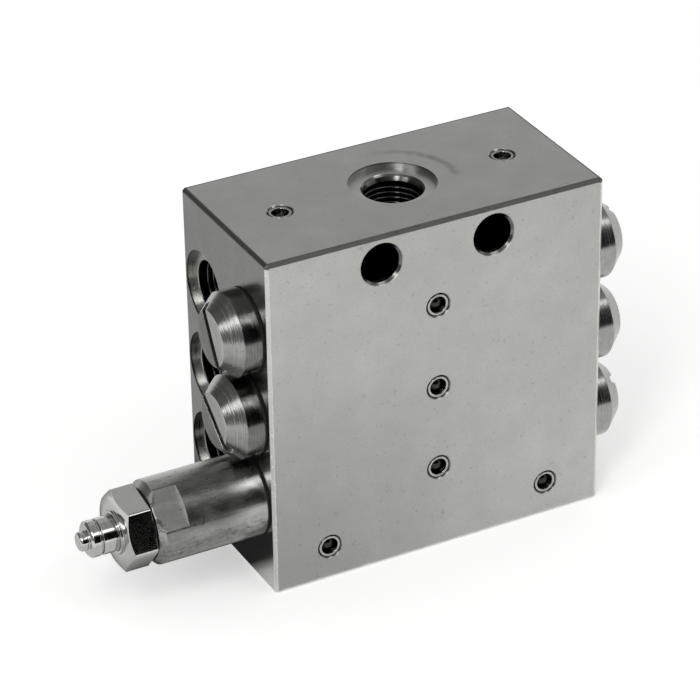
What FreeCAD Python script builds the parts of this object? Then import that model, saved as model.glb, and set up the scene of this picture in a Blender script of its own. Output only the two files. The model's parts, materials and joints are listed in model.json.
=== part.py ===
import FreeCAD, Part
import math
import os

# A progressive lubricant divider in one block. Lubricant enters at the top, three spool pistons shuttle one
# after another, and each stroke pushes a measured shot out of one of six side outlets.
# Millimetres. X runs along the pistons, +Y from the front face to the back face, +Z up.
# The origin is the centre of the block's bottom face.

# Piston rows, counted from the bottom
row_names = ("bottom", "middle", "top")
row_pitch = 15.0
bottom_margin = 15.0
top_margin = 15.0

# Block: its height follows the rows, and its depth follows the pistons and the outlets behind them
block_width = 60.0
piston_inset = 8.0
outlet_offset = 15.0
back_margin = 7.0
block_edge = 0.4

# Spool pistons and their bores
piston_diameter = 7.0
piston_play = 0.03
piston_stroke = 5.2
piston_end_gap = 0.05
piston_edge = 0.3
centre_land = 3.2
groove_width = 8.0
groove_diameter = 4.6

# Threaded ends of the piston bores, which the plugs and the indicator close
end_thread = 11.0
end_thread_depth = 8.0
end_shank_length = 7.0
thread_play = 0.05

# Sealing rings under the heads
seal_thickness = 0.3
seal_play = 0.1
seal_edge = 0.2

# Slotted end plugs
head_gap = 1.0
plug_straight = 3.0
plug_cone_height = 2.7
plug_face_diameter = 9.2
plug_shank_edge = 0.5
slot_width = 1.4
slot_depth = 1.1
slot_lean = {"left_top": 29.0, "left_middle": 51.0, "right_top": -12.0, "right_middle": 63.0, "right_bottom": -38.0}

# Indicator housing, which takes the place of the left plug in the bottom row
indicator_row = "bottom"
housing_length = 19.0
housing_edge = 1.0
flats_across = 12.0
flats_reach = 5.0
flats_lean = 45.0
guide_length = 9.0
rod_seal_width = 1.8
rod_seal_section = 1.5
rod_seal_setback = 3.0
chamber_diameter = 7.0
gland_thread = 9.0
gland_shank_length = 6.4
gland_bore_relief = 0.5

# Hexagon gland
gland_ring_thickness = 0.4
gland_ring_edge = 0.5
hexagon_across = 12.0
hexagon_sides = 6
hexagon_length = 4.5
hexagon_face_diameter = 11.6
hexagon_lean = 40.0
chamfer_angle = 30.0
collar_width = 0.6
collar_length = 0.4

# Indicator pin, screwed into the bottom piston
rod_diameter = 4.0
stem_diameter = 6.0
sliding_play = 0.05
stem_inner_length = 8.0
stem_show = 3.0
pin_groove_depth = 0.5
pin_groove_width = 0.4
pin_head_length = 1.6
pin_head_edge = 0.4
pin_tip_diameter = 3.2
pin_tip_length = 1.4
pin_tip_round = 0.6
spigot_diameter = 3.0
spigot_length = 5.0
spigot_end_gap = 0.5

# Outlets: spot face, thread and tapping drill
outlet_thread = 10.0
outlet_thread_depth = 8.0
outlet_drill = 8.9
outlet_drill_run = 1.5
outlet_spot_diameter = 12.8
outlet_spot_depth = 1.1
outlet_countersink = 0.2

# Inlet
inlet_thread = 9.73
inlet_thread_depth = 8.0
inlet_drill = 8.8
inlet_drill_run = 1.0
inlet_spot_diameter = 14.4
inlet_spot_depth = 1.0
inlet_countersink = 0.3

# Mounting holes
mount_hole = 6.6
mount_spacing = 20.0
mount_drop = 5.0
mount_edge = 0.45

# Drillings that carry the lubricant between the bores
gallery_diameter = 4.0
feed_diameter = 2.0
channel_diameter = 2.4
channel_inset = 10.0
channel_foot = 6.0
link_diameter = 1.8
link_port_reach = 6.0
link_port_lean = 45.0
link_start_drop = 4.6
outlet_link_reach = 11.8
outlet_link_rise = 4.0

# Expanders: a sleeve and the ball pressed into it, sunk in a stepped mouth
sleeve_diameter = 4.0
sleeve_length = 3.8
sleeve_wall = 0.55
sleeve_floor = 0.5
sleeve_sunk = 0.15
mouth_edge = 0.25

# Drill point, cutting allowance and whole turn
drill_point_angle = 118.0
overcut = 1.0
full_turn = 360.0

# Values that follow from the sizes above
row_height = {}
for row_number, row_name in enumerate(row_names):
    row_height[row_name] = bottom_margin + row_number * row_pitch
block_height = row_height["top"] + top_margin
block_depth = piston_inset + outlet_offset + back_margin
side = block_width / 2
front = -block_depth / 2
piston_y = front + piston_inset
outlet_y = piston_y + outlet_offset
channel_x = side - channel_inset
mount_z = block_height - mount_drop
bore_diameter = piston_diameter + 2 * piston_play
shoulder_x = side - end_thread_depth
stop_x = side - end_shank_length
piston_length = 2 * stop_x - piston_stroke - 2 * piston_end_gap
piston_right = stop_x - piston_end_gap
piston_left = piston_right - piston_length
head_diameter = row_pitch - head_gap
plug_height = seal_thickness + plug_straight + plug_cone_height
gland_seat = housing_length + gland_ring_thickness
gland_inner = gland_seat - gland_shank_length
gland_face = gland_seat + hexagon_length
stem_inner = gland_face - collar_length - hexagon_length - stem_inner_length
stem_outer = gland_face + stem_show
guide_end = guide_length - end_shank_length
sleeve_bore = sleeve_diameter - 2 * sleeve_wall

X = FreeCAD.Vector(1, 0, 0)
Y = FreeCAD.Vector(0, 1, 0)
Z = FreeCAD.Vector(0, 0, 1)


def at(x, y, z):
    """A point of the part's frame."""
    return FreeCAD.Vector(x, y, z)


def turned(profile):
    """Turns a closed outline of (along, radius) points about the X axis."""
    points = [at(along, 0, radius) for along, radius in profile]
    outline = Part.makePolygon(points + points[:1])
    return Part.Face(outline).revolve(at(0, 0, 0), X, full_turn)


def aimed(shape, start, direction):
    """Moves a shape made along X so that it starts at a point and runs along a direction."""
    moved = shape.copy()
    moved.Placement = FreeCAD.Placement(start, FreeCAD.Rotation(X, direction))
    return moved


def drill_tip(diameter):
    """Length of the cone that a drill leaves at a hole's end."""
    return diameter / 2 / math.tan(math.radians(drill_point_angle / 2))


def drilled(start, direction, diameter, depth):
    """A blind drilling with its drill point."""
    radius = diameter / 2
    tool = turned([(0, 0), (0, radius), (depth, radius), (depth + drill_tip(diameter), 0)])
    return aimed(tool, start, direction)


def passage(start, end, diameter):
    """A straight round passage between two points."""
    run = end - start
    return Part.makeCylinder(diameter / 2, run.Length, start, run)


def side_point(sign, along, y, z):
    """A point a distance outward from the left (-1) or right (+1) face of the block."""
    return at(sign * (side + along), y, z)


def on_side(shape, sign, row):
    """Puts a shape made outward along X on the bore of a row, on the left (-1) or right (+1) side."""
    return aimed(shape, side_point(sign, 0, piston_y, row_height[row]), X * sign)


def ring(start, end, inner, outer):
    """A plain ring between two places along X."""
    return turned([(start, inner / 2), (start, outer / 2), (end, outer / 2), (end, inner / 2)])


def threaded_port(spot, spot_depth, thread, thread_depth, drill, drill_run, countersink):
    """A tapped port made inward along X: spot face, countersink, thread and tapping drill."""
    thread_end = spot_depth + thread_depth
    step = (thread - drill) / 2
    drill_end = thread_end + drill_run
    return turned([
        (-overcut, 0),
        (-overcut, spot / 2),
        (spot_depth, spot / 2),
        (spot_depth, thread / 2 + countersink),
        (spot_depth + countersink, thread / 2),
        (thread_end, thread / 2),
        (thread_end + step, drill / 2),
        (drill_end, drill / 2),
        (drill_end + drill_tip(drill), 0),
    ])


def expander_mouth():
    """The stepped mouth, made inward along X, that an expander is set in."""
    radius = sleeve_diameter / 2
    return turned([
        (-overcut, 0),
        (-overcut, radius + mouth_edge),
        (0, radius + mouth_edge),
        (mouth_edge, radius),
        (sleeve_sunk + sleeve_length, radius),
        (sleeve_sunk + sleeve_length, 0),
    ])


def expander_seats():
    """Name, mouth and inward direction of each expander: the row feeds, and both ends of each channel."""
    seats = []
    for row in row_names:
        seats.append(("front_" + row, at(0, front, row_height[row]), Y))
    for word, sign in (("left", -1), ("right", 1)):
        seats.append(("front_foot_" + word, at(sign * channel_x, front, channel_foot), Y))
        seats.append(("top_" + word, at(sign * channel_x, 0, block_height), Z * -1))
    return seats


def piston_bore_tools(row):
    """The bore of one row with its threaded ends."""
    z = row_height[row]
    tools = [passage(side_point(-1, 0, piston_y, z), side_point(1, 0, piston_y, z), bore_diameter)]
    for sign in (-1, 1):
        mouth = side_point(sign, overcut, piston_y, z)
        tools.append(passage(mouth, at(sign * shoulder_x, piston_y, z), end_thread))
    return tools


def outlet_tools(row):
    """Both outlets of one row, and the drillings from their floors to the piston bore."""
    z = row_height[row]
    port = threaded_port(outlet_spot_diameter, outlet_spot_depth, outlet_thread, outlet_thread_depth,
                         outlet_drill, outlet_drill_run, outlet_countersink)
    bore_wall = piston_y + bore_diameter / 2
    tools = []
    for sign in (-1, 1):
        tools.append(aimed(port, side_point(sign, 0, outlet_y, z), X * -sign))
        mouth = at(sign * (side - outlet_spot_depth), outlet_y + outlet_link_rise, z)
        target = at(sign * outlet_link_reach, bore_wall, z)
        overshoot = (target - mouth).normalize() * link_diameter / 2
        tools.append(passage(mouth, target + overshoot, link_diameter))
    return tools


def supply_tools():
    """The inlet, the gallery under it and the feeds drilled through each piston bore from the front."""
    port = threaded_port(inlet_spot_diameter, inlet_spot_depth, inlet_thread, inlet_thread_depth,
                         inlet_drill, inlet_drill_run, inlet_countersink)
    gallery_end = row_height["bottom"] - gallery_diameter / 2
    gallery_start = block_height - inlet_spot_depth - inlet_thread_depth
    tools = [aimed(port, at(0, 0, block_height), Z * -1)]
    tools.append(drilled(at(0, 0, gallery_start), Z * -1, gallery_diameter, gallery_start - gallery_end))
    for row in row_names:
        tools.append(passage(at(0, front, row_height[row]), at(0, 0, row_height[row]), feed_diameter))
    return tools


def channel_tools():
    """The upright channel on each side and the front drilling that meets its foot."""
    tools = []
    for sign in (-1, 1):
        x = sign * channel_x
        tools.append(passage(at(x, 0, block_height), at(x, 0, channel_foot), channel_diameter))
        tools.append(drilled(at(x, front, channel_foot), Y, channel_diameter, -front))
    return tools


def link_tools():
    """Slanted drillings from each bore's end chamber to the next bore down, and from the last to the first."""
    tools = []
    bore_radius = bore_diameter / 2
    port_y = piston_y + bore_radius * math.sin(math.radians(link_port_lean))
    port_z = row_height["top"] - bore_radius * math.cos(math.radians(link_port_lean))
    for sign in (-1, 1):
        for upper, lower in (("top", "middle"), ("middle", "bottom")):
            start = at(sign * shoulder_x, piston_y, row_height[upper] - link_start_drop)
            target = at(sign * link_port_reach, piston_y, row_height[lower] + bore_radius)
            overshoot = (target - start).normalize() * link_diameter
            tools.append(passage(start - overshoot / 2, target + overshoot, link_diameter))
        chamber = at(sign * shoulder_x, piston_y, row_height["bottom"] - link_start_drop)
        foot = at(sign * (channel_x - link_diameter / 2), piston_y, channel_foot)
        tools.append(passage(chamber + (chamber - foot).normalize() * link_diameter / 2, foot, link_diameter))
        channel = at(sign * channel_x, 0, (row_height["middle"] + row_height["top"]) / 2 - link_diameter)
        port = at(sign * link_port_reach, port_y, port_z)
        tools.append(passage(channel, port + (port - channel).normalize() * link_diameter / 2, link_diameter))
    return tools


def mount_tools():
    """The two mounting holes from front to back, with broken edges."""
    radius = mount_hole / 2
    wide = radius + mount_edge
    tool = turned([
        (-overcut, 0),
        (-overcut, wide),
        (0, wide),
        (mount_edge, radius),
        (block_depth - mount_edge, radius),
        (block_depth, wide),
        (block_depth + overcut, wide),
        (block_depth + overcut, 0),
    ])
    return [aimed(tool, at(sign * mount_spacing / 2, front, mount_z), Y) for sign in (-1, 1)]


def block():
    """The ground block with every bore, port and drilling."""
    body = Part.makeBox(block_width, block_depth, block_height, at(-side, front, 0))
    body = body.makeChamfer(block_edge, body.Edges)
    tools = supply_tools() + channel_tools() + link_tools() + mount_tools()
    for row in row_names:
        tools += piston_bore_tools(row) + outlet_tools(row)
    for _, mouth, inward in expander_seats():
        tools.append(aimed(expander_mouth(), mouth, inward))
    cutter = tools[0].fuse(tools[1:])
    return body.cut(cutter)


def piston_profile():
    """Outline of a spool: two end lands, a centre land and the two grooves between them."""
    radius = piston_diameter / 2
    waist = groove_diameter / 2
    half = piston_length / 2
    land = centre_land / 2
    groove_end = land + groove_width
    return [
        (-half, 0),
        (-half, radius - piston_edge),
        (-half + piston_edge, radius),
        (-groove_end, radius),
        (-groove_end, waist),
        (-land, waist),
        (-land, radius),
        (land, radius),
        (land, waist),
        (groove_end, waist),
        (groove_end, radius),
        (half - piston_edge, radius),
        (half, radius - piston_edge),
        (half, 0),
    ]


def piston(row):
    """A spool piston, resting against the right-hand plug. The indicator's row has a socket for the pin."""
    centre = (piston_left + piston_right) / 2
    spool = aimed(turned(piston_profile()), at(centre, piston_y, row_height[row]), X)
    if row == indicator_row:
        mouth = at(piston_left, piston_y, row_height[row])
        spool = spool.cut(drilled(mouth, X, spigot_diameter, spigot_length + spigot_end_gap))
    return spool


def seal_ring(sign, row):
    """The thin ring that seals a head against the block's side."""
    inner = end_thread + 2 * seal_play
    outer = head_diameter - 2 * seal_edge
    return on_side(ring(0, seal_thickness, inner, outer), sign, row)


def end_plug(sign, row, lean):
    """A screw plug: threaded shank, round head with a coned face and a screwdriver slot."""
    head = head_diameter / 2
    shank = end_thread / 2 - thread_play
    cone_start = seal_thickness + plug_straight
    body = turned([
        (-end_shank_length, 0),
        (-end_shank_length, shank - plug_shank_edge),
        (-end_shank_length + plug_shank_edge, shank),
        (seal_thickness, shank),
        (seal_thickness, head),
        (cone_start, head),
        (plug_height, plug_face_diameter / 2),
        (plug_height, 0),
    ])
    length = head_diameter + 2 * overcut
    slot = Part.makeBox(slot_depth + overcut, slot_width, length,
                        at(plug_height - slot_depth, -slot_width / 2, -length / 2))
    slot.rotate(at(0, 0, 0), X, -sign * lean)
    return on_side(body.cut(slot), sign, row)


def housing_bore():
    """The housing's inside, along X: rod guide, chamber for the stem and thread for the gland."""
    guide = rod_diameter / 2 + sliding_play
    chamber = chamber_diameter / 2
    gland_bore_start = gland_inner - gland_bore_relief
    return turned([
        (-end_shank_length - overcut, 0),
        (-end_shank_length - overcut, guide),
        (guide_end, guide),
        (guide_end, chamber),
        (gland_bore_start, chamber),
        (gland_bore_start, gland_thread / 2),
        (housing_length + overcut, gland_thread / 2),
        (housing_length + overcut, 0),
    ])


def rod_seal_place():
    """Start and end of the rod seal along X."""
    start = -end_shank_length + rod_seal_setback
    return start, start + rod_seal_width


def flat_cutter(lean):
    """Takes one spanner flat off the housing's outer end, its normal leaning from upright to the front."""
    reach = flats_reach + overcut
    size = head_diameter + 2 * overcut
    cutter = Part.makeBox(reach, size, size, at(housing_length - flats_reach, -size / 2, flats_across / 2))
    cutter.rotate(at(0, 0, 0), X, -lean)
    return cutter


def indicator_housing():
    """The indicator's long round housing with two spanner flats near its outer end."""
    radius = head_diameter / 2
    shank = end_thread / 2 - thread_play
    seal_start, seal_end = rod_seal_place()
    body = turned([
        (-end_shank_length, 0),
        (-end_shank_length, shank - plug_shank_edge),
        (-end_shank_length + plug_shank_edge, shank),
        (seal_thickness, shank),
        (seal_thickness, radius),
        (housing_length - housing_edge, radius),
        (housing_length, radius - housing_edge),
        (housing_length, 0),
    ])
    body = body.cut([
        housing_bore(),
        ring(seal_start, seal_end, rod_diameter, rod_diameter + 2 * rod_seal_section),
        flat_cutter(flats_lean),
        flat_cutter(flats_lean + full_turn / 2),
    ])
    return on_side(body, -1, indicator_row)


def rod_seal():
    """The seal in the housing's inner groove, around the rod."""
    seal_start, seal_end = rod_seal_place()
    seal = ring(seal_start, seal_end, rod_diameter + 2 * sliding_play, rod_diameter + 2 * rod_seal_section)
    return on_side(seal, -1, indicator_row)


def gland_ring():
    """The thin ring between the housing and the gland."""
    inner = gland_thread + 2 * seal_play
    outer = hexagon_across - 2 * gland_ring_edge
    return on_side(ring(housing_length, gland_seat, inner, outer), -1, indicator_row)


def hexagon_prism():
    """The gland's hexagon with its outer corners turned off at the usual angle."""
    side_angle = full_turn / hexagon_sides
    corner = hexagon_across / 2 / math.cos(math.radians(side_angle / 2))
    points = []
    for number in range(hexagon_sides):
        angle = math.radians(hexagon_lean + side_angle * number)
        points.append(at(gland_seat, math.sin(angle) * corner, math.cos(angle) * corner))
    prism = Part.Face(Part.makePolygon(points + points[:1])).extrude(X * hexagon_length)
    rim = hexagon_face_diameter / 2
    drop = (corner + overcut - rim) * math.tan(math.radians(chamfer_angle))
    turning = turned([
        (gland_seat, 0),
        (gland_seat, corner + overcut),
        (gland_face - drop, corner + overcut),
        (gland_face, rim),
        (gland_face, 0),
    ])
    return prism.common(turning)


def indicator_gland():
    """The hexagon gland: threaded shank, hexagon and a low collar round the pin."""
    shank = gland_thread / 2 - thread_play
    collar = stem_diameter / 2 + collar_width
    core = turned([
        (gland_inner, 0),
        (gland_inner, shank - gland_bore_relief),
        (gland_inner + gland_bore_relief, shank),
        (gland_seat, shank),
        (gland_seat, collar),
        (gland_face + collar_length, collar),
        (gland_face + collar_length, 0),
    ])
    bore = ring(gland_inner - overcut, gland_face + collar_length + overcut, 0, stem_diameter + 2 * sliding_play)
    return on_side(hexagon_prism().fuse(core).cut(bore), -1, indicator_row)


def indicator_pin():
    """The pin: spigot, thin rod, guided stem, groove, head and rounded tip."""
    rod = rod_diameter / 2
    stem = stem_diameter / 2
    spigot = spigot_diameter / 2 - thread_play
    joint = -side - piston_left
    head_start = stem_outer + pin_groove_width
    head_end = head_start + pin_head_length
    tip_end = head_end + pin_tip_length
    body = turned([
        (joint - spigot_length, 0),
        (joint - spigot_length, spigot),
        (joint, spigot),
        (joint, rod),
        (stem_inner, rod),
        (stem_inner, stem),
        (stem_outer, stem),
        (stem_outer, stem - pin_groove_depth),
        (head_start, stem - pin_groove_depth),
        (head_start, stem),
        (head_end - pin_head_edge, stem),
        (head_end, stem - pin_head_edge),
        (head_end, pin_tip_diameter / 2),
        (tip_end, pin_tip_diameter / 2),
        (tip_end, 0),
    ])
    rim = [edge for edge in body.Edges if edge.BoundBox.XMin > tip_end - pin_tip_length / 2]
    body = body.makeFillet(pin_tip_round, [edge for edge in rim if isinstance(edge.Curve, Part.Circle)])
    return on_side(body, -1, indicator_row)


def sleeve(mouth, inward):
    """An expander's cup, set a little below the surface."""
    outer = sleeve_diameter / 2
    inner = sleeve_bore / 2
    end = sleeve_sunk + sleeve_length
    cup = turned([
        (sleeve_sunk, inner),
        (sleeve_sunk, outer),
        (end, outer),
        (end, 0),
        (end - sleeve_floor, 0),
        (end - sleeve_floor, inner),
    ])
    return aimed(cup, mouth, inward)


def ball(mouth, inward):
    """The ball pressed down to the cup's floor."""
    depth = sleeve_sunk + sleeve_length - sleeve_floor - sleeve_bore / 2
    return Part.makeSphere(sleeve_bore / 2, mouth + inward * depth)


def build():
    """Every piece of the divider by its node's name."""
    pieces = {"block": block()}
    for row in row_names:
        pieces["piston_" + row] = piston(row)
    for word, sign in (("left", -1), ("right", 1)):
        for row in row_names:
            name = word + "_" + row
            pieces["seal_ring_" + name] = seal_ring(sign, row)
            if name in slot_lean:
                pieces["end_plug_" + name] = end_plug(sign, row, slot_lean[name])
    pieces["indicator_housing"] = indicator_housing()
    pieces["rod_seal"] = rod_seal()
    pieces["gland_ring"] = gland_ring()
    pieces["indicator_gland"] = indicator_gland()
    pieces["indicator_pin"] = indicator_pin()
    for name, mouth, inward in expander_seats():
        pieces["sleeve_" + name] = sleeve(mouth, inward)
        pieces["ball_" + name] = ball(mouth, inward)
    return pieces


os.makedirs("parts", exist_ok=True)
for node, shape in build().items():
    solid = shape if shape.ShapeType == "Solid" else shape.Solids[0]
    assert len(shape.Solids) == 1 and solid.isValid(), node
    solid.exportStep("parts/" + node + ".step")
    print(node, "volume", round(solid.Volume, 2), "mm3, faces", len(solid.Faces))
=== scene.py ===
# %% [markdown]
# # A lubricant divider block in ground and turned steel
# The object is a steel block, 60 mm wide, that shares lubricant out between six outlets. Everything with a
# real size was built in CAD and arrives here as a fixed frame: one mesh for each piece, already in its
# place. This lesson gives those pieces the finish of a machine shop. It adds what the frame leaves out:
# the turns of the open threads, and the small rounded edges that catch the light on turned steel.
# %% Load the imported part
import json
import math

import bmesh
import bpy
import numpy as np
from mathutils import Matrix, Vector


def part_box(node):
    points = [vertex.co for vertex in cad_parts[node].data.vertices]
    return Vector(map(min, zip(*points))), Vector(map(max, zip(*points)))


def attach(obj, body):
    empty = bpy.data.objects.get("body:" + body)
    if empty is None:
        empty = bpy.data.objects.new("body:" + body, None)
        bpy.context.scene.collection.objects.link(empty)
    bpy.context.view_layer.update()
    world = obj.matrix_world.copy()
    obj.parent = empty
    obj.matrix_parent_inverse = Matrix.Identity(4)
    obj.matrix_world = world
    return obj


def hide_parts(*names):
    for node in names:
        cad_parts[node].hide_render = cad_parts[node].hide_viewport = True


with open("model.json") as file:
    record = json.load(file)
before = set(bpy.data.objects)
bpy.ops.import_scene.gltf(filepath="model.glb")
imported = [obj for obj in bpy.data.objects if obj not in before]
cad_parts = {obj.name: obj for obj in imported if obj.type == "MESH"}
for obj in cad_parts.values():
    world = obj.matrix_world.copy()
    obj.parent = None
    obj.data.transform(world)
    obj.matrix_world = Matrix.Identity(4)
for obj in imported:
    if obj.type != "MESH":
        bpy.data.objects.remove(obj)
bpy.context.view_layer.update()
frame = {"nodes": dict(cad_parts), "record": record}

mm = 0.001
print("nodes:", len(frame["nodes"]))

# %% [markdown]
# ## Measures that the frame already holds
# A piece that is made here has to sit exactly where its CAD node sits. So no place is typed twice: the
# script asks the frame for the box of a node, and works out an axis or a diameter from it. Every turned
# piece of this object has its axis along X, so one point in Y and Z is enough to name the axis.


# %% Ask the frame for an axis and a radius
def axis_of(node):
    """The Y and Z of a turned piece's axis: the middle of its box."""
    low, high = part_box(node)
    return (low.y + high.y) / 2, (low.z + high.z) / 2


def radius_of(node):
    """The largest radius of a piece turned about X: half of its box along Z."""
    low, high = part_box(node)
    return (high.z - low.z) / 2


def reach_of(node):
    """How far a node starts and ends, outward from the block's nearer side. Inward is negative."""
    low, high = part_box(node)
    return sorted([abs(low.x) - side, abs(high.x) - side])


block_low, block_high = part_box("block")
side = block_high.x
block_top = block_high.z
block_front = block_low.y
print("block, mm:", [round(length / mm, 2) for length in block_high - block_low])

# %% [markdown]
# ## The camera
# The photograph was solved for its camera from the corners of the block. The lens is long, about 179 mm on
# a 36 mm sensor, which is why the block's edges stay almost parallel. The pose is kept as the place of the
# eye, the direction that it looks in, and the direction that is up in the picture.
# %% Camera
lens_mm = 179.36
sensor_mm = 36.0
eye = np.array([-230.70, -434.56, 314.11]) * mm
forward = np.array([0.39457, 0.77038, -0.50082])
upward = np.array([0.24446, 0.43739, 0.86541])


def camera_pose(eye, forward, upward):
    """A matrix whose columns are right, up, backward and the eye. A camera looks along its own -Z."""
    backward = -forward / np.linalg.norm(forward)
    right = np.cross(upward, backward)
    right /= np.linalg.norm(right)
    pose = np.eye(4)
    pose[:3] = np.stack([right, np.cross(backward, right), backward, eye], axis=1)
    return Matrix(pose)


scene = bpy.context.scene
scene.view_settings.view_transform = "Standard"
camera = bpy.data.objects.new("camera", bpy.data.cameras.new("camera"))
camera.data.lens = lens_mm
camera.data.sensor_width = sensor_mm
camera.data.sensor_fit = "HORIZONTAL"
camera.data.clip_start = 10 * mm
camera.matrix_world = camera_pose(eye, forward, upward)
scene.collection.objects.link(camera)
scene.camera = camera

# %% [markdown]
# ## Shader sums as Python expressions
# A procedural finish is a piece of arithmetic: a noise, times a mask, plus a base level. Drawn by hand,
# that is a tangle of small nodes. Here one class wraps the output of a node, so that `1 - mask * 0.2` adds
# the Math nodes for us. Numbers alone never become nodes: Python works them out. Colours are blended with
# a Mix node, because a Math node would turn them grey.


# %% A wire: the output of a shader node
class Wire:
    """The output of a shader node. Sums and products of wires add the Math nodes that work them out."""

    def __init__(self, tree, socket=None):
        self.tree = tree
        self.socket = socket

    def node(self, kind, settings=None, inputs=None, output=0):
        """Any other node: its settings are set first, then each input gets a number, colour or wire."""
        made = self.tree.nodes.new(kind)
        for name, value in (settings or {}).items():
            setattr(made, name, value)
        for name, value in (inputs or {}).items():
            if isinstance(value, Wire):
                self.tree.links.new(value.socket, made.inputs[name])
            else:
                made.inputs[name].default_value = value
        return Wire(self.tree, made.outputs[output] if len(made.outputs) else None)

    def math(self, operation, *values):
        """One Math node."""
        return self.node("ShaderNodeMath", {"operation": operation}, dict(enumerate(values)))

    def __add__(self, other):
        return self.math("ADD", self, other)

    __radd__ = __add__

    def __sub__(self, other):
        return self.math("SUBTRACT", self, other)

    def __rsub__(self, other):
        return self.math("SUBTRACT", other, self)

    def __mul__(self, other):
        return self.math("MULTIPLY", self, other)

    __rmul__ = __mul__

    def __abs__(self):
        return self.math("ABSOLUTE", self)

    def root(self):
        return self.math("SQRT", self)

    def least(self, other):
        return self.math("MINIMUM", self, other)

    def most(self, other):
        return self.math("MAXIMUM", self, other)

    def smooth(self, low, high):
        """0 where this wire is below low, 1 where it is above high, and a smooth step between."""
        return self.node("ShaderNodeMapRange", {"interpolation_type": "SMOOTHSTEP"},
                         {"Value": self, "From Min": low, "From Max": high})


# %% [markdown]
# A finish needs only a few patterns. Noise in Object coordinates is measured in metres, so a scale of 1000
# gives one blotch for each millimetre. Stretching the coordinates first turns round blotches into streaks.
# Grey levels are written as they are read off a picture, from 0 to 255, and turned into the linear values
# that a shader uses.


# %% Patterns and colours
def linear(level):
    """The linear value of a grey level of a picture, from 0 to 255."""
    share = level / 255
    return share / 12.92 if share <= 0.04045 else ((share + 0.055) / 1.055) ** 2.4


def steel_grey(level):
    """A steel's colour for that grey level, with a trace less blue than red and green."""
    return (linear(level), linear(level), linear(level * 0.985), 1.0)


def split(wire):
    """The three parts of a vector."""
    return [wire.node("ShaderNodeSeparateXYZ", None, {0: wire}, part) for part in range(3)]


def stretched(where, factors):
    """Coordinates multiplied along X, Y and Z."""
    return where.node("ShaderNodeVectorMath", {"operation": "MULTIPLY"}, {0: where, 1: factors})


def noise(where, size, detail=2.0, rough=0.5):
    """Noise from 0 to 1 whose blotches are about as large as size, in metres."""
    return where.node("ShaderNodeTexNoise", None,
                      {"Vector": where, "Scale": 1 / size, "Detail": detail, "Roughness": rough})


def painted(share, colour, level):
    """The colour where share is 0, and the steel grey of that level where it is 1."""
    colours = {0: share, 6: colour, 7: steel_grey(level)}
    return share.node("ShaderNodeMix", {"data_type": "RGBA"}, colours, 2)


def begin(name):
    """A new material with an empty tree, and a wire to add nodes from."""
    material = bpy.data.materials.new(name)
    material.use_nodes = True
    material.node_tree.nodes.clear()
    return material, Wire(material.node_tree)


def toned(colour, tone, dark, light, light_share=1.0):
    """The colour darkened where tone is below 0, and lightened where it is above."""
    colour = painted((0.0 - tone).most(0.0), colour, dark)
    return painted(tone.most(0.0) * light_share, colour, light)


def close(tree, colour, rough, normal, metallic=1.0):
    """Adds the surface shader with its inputs, and joins it to the material's output."""
    settings = {"Base Color": colour, "Metallic": metallic, "Roughness": rough, "Normal": normal}
    shader = tree.node("ShaderNodeBsdfPrincipled", None, settings)
    tree.node("ShaderNodeOutputMaterial", None, {"Surface": shader})


def bumped(height, depth):
    """The normal of a surface whose height wire, from 0 to 1, stands for that depth in metres."""
    return height.node("ShaderNodeBump", None, {"Strength": 1.0, "Distance": depth, "Height": height})


# %% [markdown]
# ## Stage and light
# Bare metal shows hardly anything of itself: it shows the room. The real block stood on a white table,
# with the dark of the room in front of it and soft lamps above. The floor and the world are white, and the
# lamps are three soft boxes. A thin shell round the stage and a sheet on the table in front, which only
# reflections can see, stand in for the dark parts of the room, as a photographer's black and grey cards
# would. A second sheet at the left, also seen only in reflections, carries a painted shadow of the block
# on the table, which the block's left side mirrors.


# %% A mesh from a grid of points
def grid_faces(rows, columns, around=False, loop=False):
    """The four-sided faces between neighbouring points of a grid. With around, the last column joins the
    first, and with loop, the last row joins the first row."""
    numbers = np.arange(rows * columns).reshape(rows, columns)
    if around:
        numbers = np.hstack([numbers, numbers[:, :1]])
    if loop:
        numbers = np.vstack([numbers, numbers[:1]])
    corners = [numbers[:-1, :-1], numbers[:-1, 1:], numbers[1:, 1:], numbers[1:, :-1]]
    return np.stack(corners, axis=-1).reshape(-1, 4)


def flat_grid(low_x, high_x, low_y, high_y, height, count):
    """A level grid of points, as many across as along."""
    x, y = np.meshgrid(np.linspace(low_x, high_x, count), np.linspace(low_y, high_y, count))
    return np.stack([x, y, np.full_like(x, height)], axis=-1)


def grid_object(name, points, material, around=False, loop=False):
    """An object whose mesh is a grid of points: an array of rows, columns and three coordinates."""
    mesh = bpy.data.meshes.new(name)
    mesh.from_pydata(points.reshape(-1, 3), [], grid_faces(*points.shape[:2], around, loop))
    mesh.materials.append(material)
    thing = bpy.data.objects.new(name, mesh)
    scene.collection.objects.link(thing)
    return thing


# %% Floor and world
floor_half = 4.0
floor_paint = (0.9, 0.9, 0.895, 1.0)
floor_lift = 0.34
room_light = 0.72


def background_rays(tree):
    """1 for a ray that shows the background: straight from the camera, mirrored or through glass."""
    names = ("Is Camera Ray", "Is Glossy Ray", "Is Transmission Ray")
    camera_ray, glossy_ray, clear_ray = (tree.node("ShaderNodeLightPath", output=name) for name in names)
    return camera_ray.most(glossy_ray).most(clear_ray)


def floor_material():
    """White paint that takes shadows, lifted to white for the rays that show the background."""
    material, tree = begin("white_table")
    paint = tree.node("ShaderNodeBsdfDiffuse", None, {"Color": floor_paint})
    lift = tree.node("ShaderNodeEmission", None, {"Strength": background_rays(tree) * floor_lift})
    both = tree.node("ShaderNodeAddShader", None, {0: paint, 1: lift})
    tree.node("ShaderNodeOutputMaterial", None, {"Surface": both})
    return material


floor_points = flat_grid(-floor_half, floor_half, -floor_half, floor_half, 0.0, count=9)
floor = grid_object("floor", floor_points, floor_material())

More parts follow.
